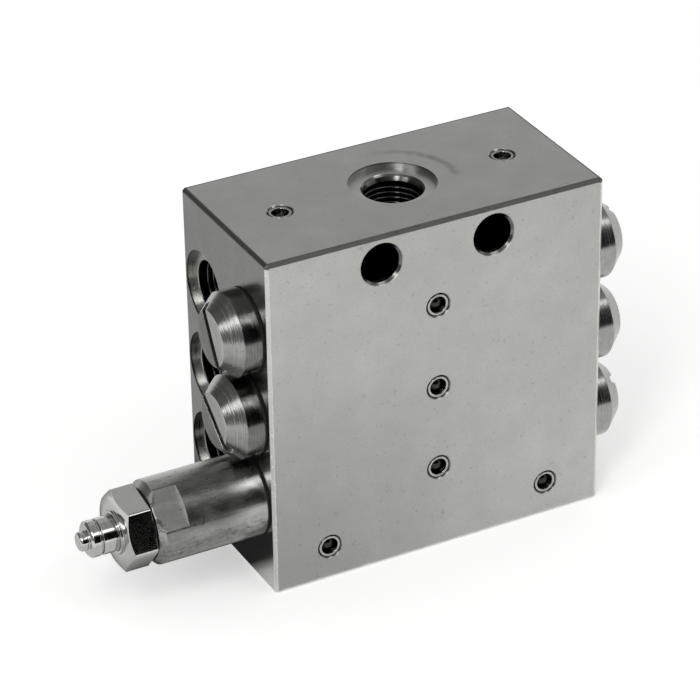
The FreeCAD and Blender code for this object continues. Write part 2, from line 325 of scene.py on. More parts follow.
world = bpy.data.worlds.new("world")
scene.world = world
world.use_nodes = True
world.node_tree.nodes.clear()
sky = Wire(world.node_tree)
white = background_rays(sky)
shine = sky.node("ShaderNodeBackground", None, {"Strength": room_light + white * (1 - room_light)})
sky.node("ShaderNodeOutputWorld", None, {"Surface": shine})


# %% Soft boxes
def aim(azimuth, elevation):
    """A direction: degrees from the front (-Y) towards +X, and degrees above the floor."""
    turn, rise = np.radians(azimuth), np.radians(elevation)
    return np.stack([np.sin(turn) * np.cos(rise), -np.cos(turn) * np.cos(rise), np.sin(rise)], axis=-1)


middle = np.array([0.0, 0.0, 35 * mm])
lamp_distance = 0.8


def soft_box(name, azimuth, elevation, width, height, glow):
    """A rectangular lamp that faces the object. Its power is its glow times pi and its area."""
    lamp = bpy.data.lights.new(name, "AREA")
    lamp.shape = "RECTANGLE"
    lamp.size = width
    lamp.size_y = height
    lamp.energy = glow * math.pi * width * height
    thing = bpy.data.objects.new(name, lamp)
    toward = aim(azimuth, elevation)
    thing.matrix_world = camera_pose(middle + toward * lamp_distance, -toward, np.array([0.0, 0.0, 1.0]))
    scene.collection.objects.link(thing)
    print(name, "power, W:", round(lamp.energy, 2))


soft_box("lamp_front_right", azimuth=35, elevation=51, width=0.42, height=0.16, glow=2.3)
soft_box("lamp_left", azimuth=-78, elevation=30, width=0.30, height=0.16, glow=3.3)
soft_box("lamp_strip", azimuth=-46, elevation=43, width=0.17, height=0.44, glow=6.5)


# %% The room that the metal shows
def above(value, low, soft):
    """1 above low, falling to 0 over soft below it, by a smooth step."""
    share = np.clip((value - low + soft) / soft, 0, 1)
    return (3 - 2 * share) * share ** 2


def window(value, low, high, soft):
    """1 between low and high, falling to 0 over soft on either side."""
    return above(value, low, soft) * above(-value, -high, soft)


def room_tone(azimuth, elevation):
    """Brightness of the room in a direction. White at the horizon behind, grey above, black in front, and
    darker at the left and behind it. Each patch has a level, a window in azimuth, a window in elevation
    and the softness of both, in degrees."""
    tone = np.ones(np.broadcast(azimuth, elevation).shape)
    patches = (
        (0.52, (-400, 400), (24, 100), 8),
        (0.38, (-400, 400), (64, 100), 6),
        (0.16, (-172, -92), (12, 42), 10),
        (0.26, (-92, -30), (-10, 18), 8),
        (0.004, (-22, 40), (-10, 36), 6),
    )
    for level, turn, rise, soft in patches:
        share = window(azimuth, *turn, soft) * window(elevation, *rise, soft)
        tone = tone * (1 - share) + level * share
    return tone


def tone_material():
    """Glows with the tone that is stored at the points of a card."""
    material, tree = begin("card")
    tone = tree.node("ShaderNodeAttribute", {"attribute_name": "tone"}, output="Fac")
    glow = tree.node("ShaderNodeEmission", None, {"Strength": tone})
    tree.node("ShaderNodeOutputMaterial", None, {"Surface": glow})
    return material


def card(name, points, tone, around=False):
    """A sheet with a tone at each point, which only reflections see."""
    sheet = grid_object(name, points, cards_paint, around=around)
    stored = sheet.data.attributes.new("tone", "FLOAT", "POINT")
    stored.data.foreach_set("value", tone.ravel())
    for ray in ("camera", "diffuse", "transmission", "volume_scatter", "shadow"):
        setattr(sheet, "visible_" + ray, False)
    print(name, "faces:", len(sheet.data.polygons))


# How far rearward the camera's view runs for each step to the right.
view_slope = 1.95


def painted_table_shade(leftward, rearward):
    """Painted shadow of the block on the table that its left side mirrors: brightness at a distance
    leftward from that side and rearward from its middle. It is dark where the block stands over it, lit
    beside that and far away, and a little darker again under the indicator."""
    away = np.hypot(leftward, rearward)
    contact = above(rearward, -5 * mm, 4 * mm) * (1 - above(away, 34 * mm, 18 * mm))
    beside = above(leftward - 0.9 * rearward, 14 * mm, 16 * mm) * (1 - contact)
    shade = 0.03 + 0.45 * above(away, 46 * mm, 34 * mm)
    lit = np.maximum(beside, above(away, 240 * mm, 120 * mm))
    in_front = above(view_slope * leftward - rearward + block_front, 6 * mm, 8 * mm)
    under_indicator = in_front * (1 - above(away, 75 * mm, 30 * mm))
    return (shade + (1 - shade) * lit) * (1 - 0.25 * under_indicator)


cards_paint = tone_material()
room_radius = 1.6
room_step = 2.0
azimuths, elevations = np.meshgrid(np.arange(-180, 180, room_step), np.arange(-2, 91, room_step))
card("room", middle + aim(azimuths, elevations) * room_radius, room_tone(azimuths, elevations), around=True)

card_height = 0.3 * mm
front_half = 1.5
front_gap = 0.32
front_tone = 0.01
front_card = flat_grid(-front_half, front_half, -front_half, -front_gap, card_height, count=41)
card("front_card", front_card, np.full(front_card.shape[:2], front_tone))

# The sheet at the left carries a painted shadow of the block on the table, seen only in reflections.
left_reach = 260 * mm
left_front = 80 * mm
left_shadow_card = flat_grid(-left_reach, block_low.x, -left_front, left_reach, card_height, count=201)
card("left_shadow_card", left_shadow_card, painted_table_shade(block_low.x - left_shadow_card[..., 0], left_shadow_card[..., 1]))

# %% [markdown]
# ## Finish of the ground block
# The block is ground flat and plated, which leaves a satin grey full of tiny specks. It is a single piece,
# so one material has to know where it is. A point's depth below the outer planes tells a face from a hole,
# and its normal tells the top from the front. The ground sides are smoother than the front and mirror the
# plugs beside them. The walls of the holes are painted dark, darkest furthest in, and the edges round the
# top and the lower left of the front are painted darker: all of this is painted shade.


# %% Where a point lies on the block
inlet_spot_depth = 1.0 * mm
outlet_spot_depth = 1.1 * mm
smudge_radius = 10.7 * mm


def piece_coordinates(tree):
    """Object coordinates and the normal in the same axes."""
    return [tree.node("ShaderNodeTexCoord", output=name) for name in ("Object", "Normal")]


def depths(where):
    """Depth below the nearest of the block's outer planes, and below the second nearest: the smallest and
    the middle one of the distances to the side, front or back, and top or bottom planes."""
    x, y, z = split(where)
    to_side = side - abs(x)
    to_front = block_high.y - abs(y)
    to_top = (block_top - z).least(z)
    nearest = to_side.least(to_front).least(to_top)
    second = to_side.least(to_front).most(to_side.most(to_front).least(to_top))
    return nearest, second


def facing(normal):
    """Masks from 0 to 1: how squarely a surface faces sideways, to front or back, and up or down."""
    return [abs(part).smooth(0.88, 0.97) for part in split(normal)]


def specks(where, size, share):
    """Small dark specks: the peaks of a noise, more of them with a larger share."""
    return noise(where, size, 1.0).smooth(0.76 - share, 0.80 - share)


# %% Marks on the block
def inlet_smudge(where):
    """A faint arc left by a fitting's rim on the top face, about the inlet: a window in the radius and one
    along the arc, broken up by noise."""
    x, y, z = split(where)
    radius = (x * x + y * y).root()
    ring = 1 - abs(radius - smudge_radius).smooth(0.2 * mm, 1.1 * mm)
    ends = y.smooth(-3.2 * mm, -1.4 * mm) * x.smooth(-2.0 * mm, 9.5 * mm)
    on_top = z.smooth(block_top - 0.1 * mm, block_top)
    return ring * ends * on_top * noise(where, 1.5 * mm, 3.0).smooth(0.2, 0.6)


def corner_shade(where):
    """Painted shade on the lower left of the block, darkest at the corner."""
    x, _, z = split(where)
    across = x + side
    return 1 - (across * across + z * z).root().smooth(4 * mm, 52 * mm)


def block_edges(where, normal, second):
    """Two masks of the narrow bands along the block's outer edges, whose border wanders a little: the worn
    ones in front and at the sides, and the duller ones round the top, painted dark as painted shade."""
    near_top = split(where)[2].smooth(block_top - 0.8 * mm, block_top - 0.7 * mm)
    wobble = (noise(where, 1.4 * mm, 3.0, 0.6) - 0.5) * (0.34 * mm - near_top * 0.22 * mm)
    edge = 1 - (second - wobble - near_top * 0.06 * mm).smooth(0.53 * mm, 0.61 * mm)
    shaded_top_edge = edge * split(normal)[2].smooth(0.3, 0.5).most(near_top)
    return edge - shaded_top_edge, shaded_top_edge


def spot_faces(where, nearest, rim, squarely):
    """Masks of the recesses at the ports: all of the inlet's, the lower walls, and the floors."""
    along_x, _, high = split(where)
    inlet_floor = block_top - inlet_spot_depth
    outlet_floor = side - outlet_spot_depth
    in_inlet = rim * high.smooth(inlet_floor - 0.08 * mm, inlet_floor - 0.04 * mm)
    in_outlet = rim * abs(along_x).smooth(outlet_floor - 0.08 * mm, outlet_floor - 0.04 * mm)
    lower_wall = in_inlet.most(in_outlet) * nearest.smooth(0.15 * mm, 0.40 * mm)
    floor_depth = nearest.smooth(inlet_spot_depth - 0.10 * mm, inlet_spot_depth - 0.02 * mm)
    too_deep = nearest.smooth(outlet_spot_depth + 0.02 * mm, outlet_spot_depth + 0.06 * mm)
    return in_inlet, lower_wall, rim * squarely * floor_depth * (1 - too_deep)


def block_finish():
    """Satin plating, a tone per face, worn front edges; painted shade on top edges, holes and a corner."""
    material, tree = begin("ground_and_plated")
    where, normal = piece_coordinates(tree)
    nearest, second = depths(where)
    sideways, frontal, upright = facing(normal)
    worn_edge, shaded_top_edge = block_edges(where, normal, second)
    inside = 1 - worn_edge - shaded_top_edge
    rim = inside * nearest.smooth(0.04 * mm, 0.12 * mm)
    deep_shade = inside * nearest.smooth(1.2 * mm, 2.5 * mm)
    in_inlet, lower_wall, spot_floor = spot_faces(where, nearest, rim, sideways.most(upright))

    grain = noise(where, 0.16 * mm, 2.0, 0.7)
    mottle = noise(where, 5 * mm, 4.0, 0.6)
    clouds = noise(where, 20 * mm, 2.0)
    dirt = specks(where, 0.55 * mm, 0.06) * 0.22 + specks(where, 1.3 * mm, 0.03) * 0.16
    tone = (grain - 0.5) * 0.36 + (mottle - 0.5) * 0.22 + (clouds - 0.5) * 0.20
    colour = painted(upright, steel_grey(174), 172)
    colour = painted(sideways, colour, 163)
    colour = toned(colour, tone, 60, 250)
    colour = painted(dirt.least(1.0), colour, 70)
    colour = painted(inlet_smudge(where) * 0.42, colour, 70)
    # Painted shade at the lower left of the front face.
    colour = painted(corner_shade(where) * frontal * 0.30, colour, 70)
    colour = painted(worn_edge * (0.55 + mottle * 0.6).least(1.0), colour, 206)
    # Painted shade on the edges round the top.
    colour = painted(shaded_top_edge, colour, 94)
    # Painted shade in the holes: walls dark near the mouth, the lower walls of the recesses lighter again.
    colour = painted(rim * 0.75 - lower_wall * 0.60, colour, 60)
    colour = painted(spot_floor, colour, 186)
    # Painted shade, darkest furthest into the holes.
    colour = painted(deep_shade * (1 - spot_floor), colour, 26)

    rough = 0.34 + (grain - 0.5) * 0.12 + (mottle - 0.5) * 0.08 - sideways * 0.15 - rim * 0.16
    rough = rough + spot_floor * 0.24 + shaded_top_edge * 0.12 - in_inlet * (1 - spot_floor) * 0.09
    nicks = (1 - inside) * noise(where, 0.5 * mm, 3.0, 0.7).smooth(0.55, 0.75)
    colour = painted(nicks * worn_edge, colour, 252)
    close(tree, colour, rough, bumped(grain * (1 - in_inlet * 0.8) - nicks * 6, 0.004 * mm))
    return material


# %% [markdown]
# ## Finish of turned pieces
# A lathe tool leaves fine rings round the axis. They are a pattern in one number only, which has to change
# along the side of a piece, down its cone and across its face alike. The place along the axis less the
# radius does so. All turned pieces lie on one of the three rows, so the radius is measured from the
# nearest row's axis. The rings are given to the bump, so that a highlight breaks into short strokes across
# them.


# %% Turned steel
row_pitch = axis_of("piston_middle")[1] - axis_of("piston_bottom")[1]
rows_y, first_row_z = axis_of("piston_bottom")


def about_rows(where):
    """The place outward from the block's middle, and the radius about the nearest row's axis."""
    x, y, z = split(where)
    high = z.node("ShaderNodeMath", {"operation": "WRAP"},
                  {0: z - first_row_z, 1: row_pitch / 2, 2: -row_pitch / 2})
    across = y - rows_y
    return abs(x), (across * across + high * high).root()


def rings(place, size, detail=2.0):
    """Noise in one number: rings about as far apart as size."""
    return place.node("ShaderNodeTexNoise", {"noise_dimensions": "1D"},
                      {"W": place, "Scale": 1 / size, "Detail": detail, "Roughness": 0.6})


def turned_finish(name, levels, rough, ring_depth, straight_end=0.0, unshaded_right_side=None, painted_lit_land=None):
    """Turned steel: grey levels for the side, the cone and the face, with rings in its tone, gloss and
    bump.
    The sides of the plugs on the left are painted darker than those on the right, as painted shade. On a
    slotted face the land towards the front, marked by an attribute of the same name as that argument, is
    painted brighter than the other, as a painted reflection."""
    material, tree = begin(name)
    where, normal = piece_coordinates(tree)
    outward, radius = about_rows(where)
    fine = rings(outward - radius, 0.07 * mm, 3.0)
    broad = rings(outward - radius, 0.4 * mm)
    patchy = noise(where, 1.6 * mm, 4.0, 0.65)
    face = abs(split(normal)[0]).smooth(0.9, 0.98)
    cone = outward.smooth(side + straight_end, side + straight_end + 0.08 * mm)
    side_level, cone_level, face_level = levels
    on_right = split(where)[0].smooth(-1 * mm, 1 * mm)
    # Painted shade: the sides of the plugs on the left are darker than those on the right.
    colour = painted(on_right, steel_grey(side_level), unshaded_right_side or side_level)
    colour = painted(cone, colour, cone_level)
    colour = painted(face, colour, face_level)
    # Painted reflection: the land towards the front is painted lighter than the other.
    if painted_lit_land:
        stored = tree.node("ShaderNodeAttribute", {"attribute_name": "painted_lit_land"}, output="Fac")
        colour = painted(face * stored, colour, painted_lit_land)
    tone = (fine - 0.5) * 0.28 + (broad - 0.5) * 0.30 + (patchy - 0.5) * 0.35
    colour = toned(colour, tone, 50, 252)
    colour = painted(specks(where, 0.5 * mm, 0.05) * 0.35, colour, 50)
    rough = rough + (broad - 0.5) * 0.10 + (patchy - 0.5) * 0.16
    close(tree, colour, rough, bumped(fine + broad * 5, ring_depth))
    return material


# %% [markdown]
# ## Finish of the indicator's housing
# The housing is plated too, but handled and wiped: its front is smudged dark in long strokes, and the
# lower side is mottled and painted darker, as painted shade. The collar beside the block is kept bright,
# without that shade or smudge. The step and the edges of the spanner flats carry a painted highlight.
# Noise that is squeezed along X gives the strokes.


# %% Mottled housing
flats_half = 6.0 * mm
flats_reach = 5.0 * mm
housing_end = reach_of("indicator_housing")[1]
flats_start = housing_end - flats_reach


def housing_finish():
    """Plating with strokes along the axis, a dark smudge on the upper front, and duller milled flats. The
    underside is painted darker as painted shade, and the step and the flats' edges get a painted highlight.
    """
    material, tree = begin("handled_plating")
    where, normal = piece_coordinates(tree)
    outward, radius = about_rows(where)
    toward_x, toward_y, toward_z = split(normal)
    strokes = noise(stretched(where, (0.10, 1, 1)), 0.30 * mm, 3.0, 0.7)
    blotches = noise(stretched(where, (0.55, 1, 1)), 1.6 * mm, 4.0, 0.65)
    bright_collar = 1 - outward.smooth(side + 2.0 * mm, side + 8.0 * mm)
    lean = toward_z * 0.62 - toward_y * 0.78
    smudge = lean.smooth(0.72, 0.96) * (1 - bright_collar)
    squarely = (toward_z * 0.7071 - toward_y * 0.7071).smooth(0.994, 0.998)
    step = side + flats_start
    flat = squarely * outward.smooth(step - 0.1 * mm, step)
    below = (0.0 - toward_z).smooth(-0.20, 0.30)
    to_chamfer = side + housing_end - outward - (radius - flats_half)
    before_flats = 1 - outward.smooth(step + 0.1 * mm, step + 0.3 * mm)
    step_wall = abs(toward_x).smooth(0.90, 0.98) * before_flats
    # Painted highlight along the flats' edge and on the step before them.
    painted_highlight_line = (flat * (1 - to_chamfer.smooth(0.10 * mm, 0.28 * mm))).most(step_wall)
    tone = (strokes - 0.5) * 0.5 + (blotches - 0.5) * (0.8 + below * 0.5)
    # Painted shade on the lower side, mostly taken off again at the collar.
    colour = painted(below, steel_grey(168), 122)
    colour = painted(bright_collar * (1 - below * 0.85), colour, 166)
    colour = painted(smudge * 0.72, colour, 52)
    colour = painted(flat, colour, 140)
    colour = toned(colour, tone, 40, 230, light_share=0.7)
    colour = painted(specks(where, 0.7 * mm, 0.08) * 0.45, colour, 40)
    stains = noise(where, 0.9 * mm, 4.0, 0.7).smooth(0.50, 0.72) * below
    colour = painted(stains * 0.55, colour, 36)
    colour = painted(painted_highlight_line, colour, 250)
    marks = noise(stretched(where, (1, 0.15, 0.15)), 0.12 * mm, 2.0)
    rough = 0.30 + (blotches - 0.5) * 0.25 + smudge * 0.10 + flat * 0.14 - bright_collar * 0.06
    close(tree, colour, rough, bumped(strokes + marks * flat * 2 + blotches * 2, 0.004 * mm))
    return material


# %% [markdown]
# ## Smaller finishes
# The gland is plated smooth, and its underside is painted darker, as painted shade. The sealing rings are
# black rubber, matt and slightly grainy. The balls are hardened and polished and carry one sharp glint;
# they are painted dark, as painted shade where they sit.


# %% Gland, rubber and balls
def smooth_finish(name, level, rough, patch=2.5 * mm, underside_shade_level=None):
    """Plated steel with soft patches, a little grain, and optional painted shade on what points down."""
    material, tree = begin(name)
    where, normal = piece_coordinates(tree)
    patches = noise(where, patch, 4.0, 0.6)
    grain = noise(where, 0.15 * mm, 2.0)
    tone = (patches - 0.5) * 0.2 + (grain - 0.5) * 0.16
    below = (0.0 - split(normal)[2]).smooth(-0.1, 0.3)
    # Painted shade on what points downward.
    colour = painted(below, steel_grey(level), underside_shade_level or level)
    colour = toned(colour, tone, 40, 250)
    close(tree, colour, rough + (patches - 0.5) * 0.12, bumped(grain, 0.002 * mm))
    return material


def rubber_finish():
    """Black rubber."""
    material, tree = begin("black_rubber")
    where, _ = piece_coordinates(tree)
    grain = noise(where, 0.12 * mm, 3.0)
    colour = painted(grain, steel_grey(20), 38)
    close(tree, colour, 0.6 + grain * 0.2, bumped(grain, 0.01 * mm), metallic=0.0)
    return material


# %% Give every slot its finish
finishes = {
    "block_steel": block_finish(),
    "plug_steel": turned_finish("turned_plug", (104, 148, 142), 0.19, 0.006 * mm, straight_end=3.3 * mm,
                                unshaded_right_side=148, painted_lit_land=198),
    "housing_steel": housing_finish(),
    "gland_steel": smooth_finish("smooth_plating", 196, 0.12, underside_shade_level=164),
    "pin_steel": turned_finish("polished_pin", (194, 194, 186), 0.10, 0.001 * mm),
    "piston_steel": turned_finish("ground_piston", (188, 188, 180), 0.18, 0.001 * mm),
    "sleeve_steel": smooth_finish("bright_sleeve", 164, 0.14, 0.6 * mm),
    # Painted shade: the balls are painted dark.
    "ball_steel": smooth_finish("shaded_ball", 52, 0.16, 0.6 * mm),
    "seal": rubber_finish(),
}
# Painted shade: the threads inside the ports are painted dark.
shaded_thread_finish = smooth_finish("shaded_cut_thread", 66, 0.10, 1.0 * mm)
for node in frame["nodes"].values():
    for slot in node.material_slots:
        slot.material = finishes[slot.material.name]
print("finishes:", sorted(finishes))

# %% [markdown]
# ## Rounded outlines
# A turned piece is an outline carried round an axis. On a real lathe no edge comes out perfectly sharp: it
# is broken by a tenth of a millimetre, and that tiny curve mirrors a wide part of the room, which draws
# the bright line along every rim. A Bevel modifier could do it too, but it trips over very short faces.
# Here the outline itself is rounded before it is turned, so every rim gets the same curve.


# %% Round the corners of an outline
cut_limit = 0.35
hold_share = 1.25


def rounded(corners, cut, steps=4, closed=False):
    """The outline with each corner replaced by a small curve. From the points A and B, at the distance cut
    before and after the corner P, the curve is (1-s)^2 A + 2 s (1-s) P + s^2 B, with s from 0 to 1. One
    more point on either side holds the straight stretches flat, so that only the curve is shaded as one.
    On a closed outline every corner is rounded, and on an open one the two ends stay."""
    corners = np.asarray(corners, float)
    if closed:
        corners = np.vstack([corners[-1:], corners, corners[:1]])
    middle = corners[1:-1, None]
    back = corners[:-2, None] - middle
    ahead = corners[2:, None] - middle
    shorter = np.minimum(np.linalg.norm(back, axis=-1), np.linalg.norm(ahead, axis=-1))[..., None]
    back /= np.linalg.norm(back, axis=-1, keepdims=True)
    ahead /= np.linalg.norm(ahead, axis=-1, keepdims=True)
    reach = np.minimum(cut, cut_limit * shorter)
    s = np.linspace(0, 1, steps + 1)[None, :, None]
    start, end = middle + reach * back, middle + reach * ahead
    curve = (1 - s) ** 2 * start + 2 * s * (1 - s) * middle + s ** 2 * end
    hold = hold_share * reach
    pieces = np.concatenate([middle + hold * back, curve, middle + hold * ahead], axis=1).reshape(-1, 2)
    return pieces if closed else np.vstack([corners[:1], pieces, corners[-1:]])


def along_outline(outline):
    """Each point's distance along the outline from its first point."""
    steps = np.linalg.norm(np.diff(outline, axis=0), axis=1)
    return np.concatenate([[0], np.cumsum(steps)])


def with_stations(outline, stations):
    """The outline with a point added at each of the given distances along it."""
    along = along_outline(outline)
    wanted = np.union1d(along, stations)
    return np.stack([np.interp(wanted, along, outline[:, part]) for part in range(2)], axis=1)


# %% Close a surface and hand it over
same_place = 0.0005 * mm
full_turn = 2 * math.pi
sharp_degrees = 35


def finished(name, points, slot, node=None, body="root", loop=False, finish=None, marks=None):
    """Makes a closed piece from a grid whose columns run round an axis. Points that fall together become
    one, all faces turn outward, and sharp corners stay sharp. The piece has the finish of a slot, rides on
    its body and stands for its node. Marks are numbers for its points, stored under a name."""
    thing = grid_object(name, points, finish or finishes[slot], around=True, loop=loop)
    mesh = thing.data
    for mark, values in (marks or {}).items():
        stored = mesh.attributes.new(mark, "FLOAT", "POINT")
        stored.data.foreach_set("value", np.broadcast_to(values, points.shape[:2]).ravel())
    solid = bmesh.new()
    solid.from_mesh(mesh)
    bmesh.ops.remove_doubles(solid, verts=solid.verts, dist=same_place)
    bmesh.ops.recalc_face_normals(solid, faces=solid.faces)
    open_edges = sum(not edge.is_manifold for edge in solid.edges)
    solid.to_mesh(mesh)
    solid.free()
    mesh.shade_smooth()
    mesh.set_sharp_from_angle(angle=math.radians(sharp_degrees))
    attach(thing, body)
    if node:
        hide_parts(node)
    print(name, len(mesh.polygons), "faces, open edges:", open_edges)


def about_x(out, radius, angle, axis, sign):
    """Points about an axis along X: out is measured outward from the block's left (-1) or right (+1) side,
    and the angle from +Z towards +Y."""
    out, radius, angle = np.broadcast_arrays(out, radius, angle)
    across = axis[0] + radius * np.sin(angle)
    return np.stack([sign * (side + out), across, axis[1] + radius * np.cos(angle)], axis=-1)


# %% [markdown]
# ## Screw plugs with a slot
# Each plug is one turned piece: a shank, a round head with a coned face, and a slot milled across it. A
# boolean cut would leave long thin faces round the slot. Instead the surface is one grid of two
# parameters, how far along the outline and how far round, and the lines that run round the head are bent
# so that some of them always lie on the slot's walls: at radius r, a wall that is w from the middle is met
# at the angle whose sine is w / r.


# %% Screw plugs
rim_cut = 0.13 * mm
seal_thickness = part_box("seal_ring_left_top")[1].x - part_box("seal_ring_left_top")[0].x
shank_edge = 0.5 * mm
shank_radius = 5.45 * mm
plug_straight = 3.0 * mm
plug_face_radius = 4.6 * mm
slot_half = 0.7 * mm
slot_depth = 1.1 * mm
slot_break = 0.1 * mm
slot_columns = 9
land_columns = 61
land_rings = (1.5 * mm, 2.5 * mm, 3.5 * mm)
slot_lean = {"left_top": 29, "left_middle": 51, "right_top": -12, "right_middle": 63, "right_bottom": -38}


def plug_outline(shank_end, face, head):
    """From the middle of the face over the cone and the head, along the shank to its end."""
    return rounded([
        (face, 0), (face, plug_face_radius), (seal_thickness + plug_straight, head),
        (seal_thickness, head), (seal_thickness, shank_radius),
        (shank_end + shank_edge, shank_radius), (shank_end, shank_radius - shank_edge),
        (shank_end, 0),
    ], rim_cut)


def slotted(outline, floor):
    """Angle, radius and outward place of a turned surface with a slot across its face. Columns come in two
    like halves: nine across the slot, one for the wall's broken edge, and the rest over the land. In the
    slot the place is the lower of the outline and the floor. On the land it is the outline, less what the
    broken edge takes off."""
    out, radius = outline[:, :1], outline[:, 1:]
    safe = np.maximum(radius, same_place)
    wall = np.arcsin(np.clip(slot_half / safe, 0, 1))
    rim = np.arcsin(np.clip((slot_half + slot_break) / safe, 0, 1))
    land = rim + (math.pi - 2 * rim) * np.linspace(0, 1, land_columns)
    part = np.hstack([wall * np.linspace(-1, 1, slot_columns), wall, land, math.pi - wall])
    in_slot = np.tile(np.arange(part.shape[1]) < slot_columns, 2)
    angle = np.hstack([part, part + math.pi])
    taken_off = np.clip(slot_half + slot_break - np.abs(radius * np.sin(angle)), 0, None)
    low = np.minimum(out, floor)
    return angle, radius, np.where(in_slot | (radius < slot_half), low, np.maximum(low, out - taken_off))


def screw_plug(name):
    """One plug, on its own node's axis and side."""
    node = "end_plug_" + name
    shank_end, face = reach_of(node)
    outline = plug_outline(shank_end, face, radius_of(node))
    floor = face - slot_depth
    floor_runs_out = np.interp(-floor, -outline[:, 0], along_outline(outline))
    inside_slot = slot_half - same_place / 5
    stations = [inside_slot, slot_half, slot_half + slot_break, *land_rings, floor_runs_out]
    angle, radius, out = slotted(with_stations(outline, stations), floor)
    sign = math.copysign(1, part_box(node)[0].x)
    points = about_x(out, radius, angle + math.radians(slot_lean[name]), axis_of(node), sign)
    # These values mark the land that is painted lighter, as a painted reflection.
    toward_front = np.repeat([0.0, 1.0], angle.shape[1] // 2)
    finished("screw_" + name, points, "plug_steel", node, marks={"painted_lit_land": toward_front})


# %% [markdown]
# ## The stroke indicator
# One bore end has no plug but an indicator: a long housing, a hexagon gland and a pin that moves with the
# piston. The spanner flats and the hexagon are the same idea in numbers. A flat whose middle lies w from
# the axis cuts a round piece at the radius w / cos(d), where d is the angle from the middle of the flat.
# So each is a turned outline whose radius is held to the smaller of its own and the flat's. Columns are
# placed on the angles where a flat ends, so its edges are crisp.


# %% Turned pieces with flats
def round_angles(count):
    """Angles evenly spaced round a full turn."""
    return np.linspace(0, full_turn, count, endpoint=False)


def flat_radius(angle, middle_angle, sides, half_across):
    """Radius of the nearest of some flats, spaced evenly round: half the width across them over the cosine
    of the angle from the middle of the flat."""
    spacing = full_turn / sides
    off = (angle - middle_angle + spacing / 2) % spacing - spacing / 2
    return half_across / np.cos(off)


flats_lean = math.radians(-45)
housing_columns = 144
housing_edge = 1.0 * mm
guide_radius = 2.05 * mm
seal_groove_radius = 3.5 * mm
seal_groove = (-4.0 * mm, -2.2 * mm)
chamber_start = 2.0 * mm
chamber_radius = 3.5 * mm
gland_thread_start = 12.5 * mm
gland_thread_radius = 4.5 * mm


def housing_outline(shank_end, end, radius):
    """Closed outline: from the shank's end outward over the outside, then back along the bores."""
    return rounded([
        (shank_end, guide_radius), (shank_end, shank_radius - shank_edge),
        (shank_end + shank_edge, shank_radius), (seal_thickness, shank_radius),
        (seal_thickness, radius), (end - housing_edge, radius), (end, radius - housing_edge),
        (end, gland_thread_radius), (gland_thread_start, gland_thread_radius),
        (gland_thread_start, chamber_radius), (chamber_start, chamber_radius),
        (chamber_start, guide_radius), (seal_groove[1], guide_radius),
        (seal_groove[1], seal_groove_radius), (seal_groove[0], seal_groove_radius),
        (seal_groove[0], guide_radius),
    ], rim_cut, closed=True)


def housing():
    """The housing with its two flats, which start at a small step in the round surface."""
    node = "indicator_housing"
    shank_end = reach_of(node)[0]
    radius = radius_of(node)
    outline = housing_outline(shank_end, housing_end, radius)
    first = np.flatnonzero((outline[:, 0] > flats_start) & (outline[:, 1] > flats_half))[0]
    on_step = np.array([[flats_start, radius], [flats_start, radius]])
    outline = np.vstack([outline[:first], on_step, outline[first:]])
    on_flats = np.arange(len(outline)) > first
    spread = math.acos(flats_half / radius)
    flat_ends = [flats_lean + middle + way * spread for middle in (0, math.pi) for way in (-1, 1)]
    angle = np.union1d(round_angles(housing_columns), np.mod(flat_ends, full_turn))
    flat = flat_radius(angle, flats_lean, 2, flats_half)
    own = outline[:, 1:]
    held = np.minimum(own, np.maximum(flat, flats_half))
    radii = np.where(on_flats[:, None] & (own > flats_half), held, own)
    points = about_x(outline[:, :1], radii, angle, axis_of(node), -1)
    finished("stroke_housing", points, "housing_steel", node, loop=True)


# %% Hexagon gland
hexagon_sides = 6
gland_columns = 180
corner_columns = np.radians([-2, 0, 2])
hexagon_half = 6.0 * mm
hexagon_length = 4.5 * mm
hexagon_lean = math.radians(-40)
hexagon_face_radius = 5.8 * mm
hexagon_chamfer = math.tan(math.radians(30))
hexagon_corner_cut = 0.08 * mm
gland_shank_radius = 4.45 * mm
gland_bore_radius = 3.05 * mm
collar_radius = 3.6 * mm
collar_length = 0.4 * mm


def gland():
    """The gland: a closed outline whose two hexagon rings follow the flats, and whose outer face is turned
    back by a cone, so that each corner ends in a curved tip."""
    node = "indicator_gland"
    start, tip = reach_of(node)
    face = tip - collar_length
    seat = face - hexagon_length
    half_side = math.pi / hexagon_sides
    corner = hexagon_half / math.cos(half_side)
    corners = hexagon_lean + np.arange(hexagon_sides) * 2 * half_side
    close_by = [corners + offset for offset in corner_columns]
    angle = np.union1d(round_angles(gland_columns), np.mod(np.concatenate(close_by), full_turn))
    flat = flat_radius(angle, hexagon_lean + half_side, hexagon_sides, hexagon_half)
    tip_round = np.minimum(flat, corner - hexagon_corner_cut)
    cone_top = face - np.clip(tip_round - hexagon_face_radius, 0, None) * hexagon_chamfer
    everywhere = np.ones_like(angle)
    inner = rounded([
        (seat, gland_shank_radius), (start + shank_edge, gland_shank_radius),
        (start, gland_shank_radius - shank_edge), (start, gland_bore_radius),
        (tip, gland_bore_radius), (tip, collar_radius), (face, collar_radius),
        (face, hexagon_face_radius),
    ], rim_cut)[:-1]
    face_rim = np.minimum(hexagon_face_radius, tip_round)
    out = np.vstack([inner[:, :1] * everywhere, face * everywhere, cone_top, cone_top - rim_cut,
                     (seat + rim_cut) * everywhere, seat * everywhere])
    radius = np.vstack([inner[:, 1:] * everywhere, face_rim, [tip_round] * 3, tip_round - rim_cut])
    points = about_x(out, radius, angle, axis_of(node), -1)
    finished("hexagon_gland", points, "gland_steel", node, loop=True)


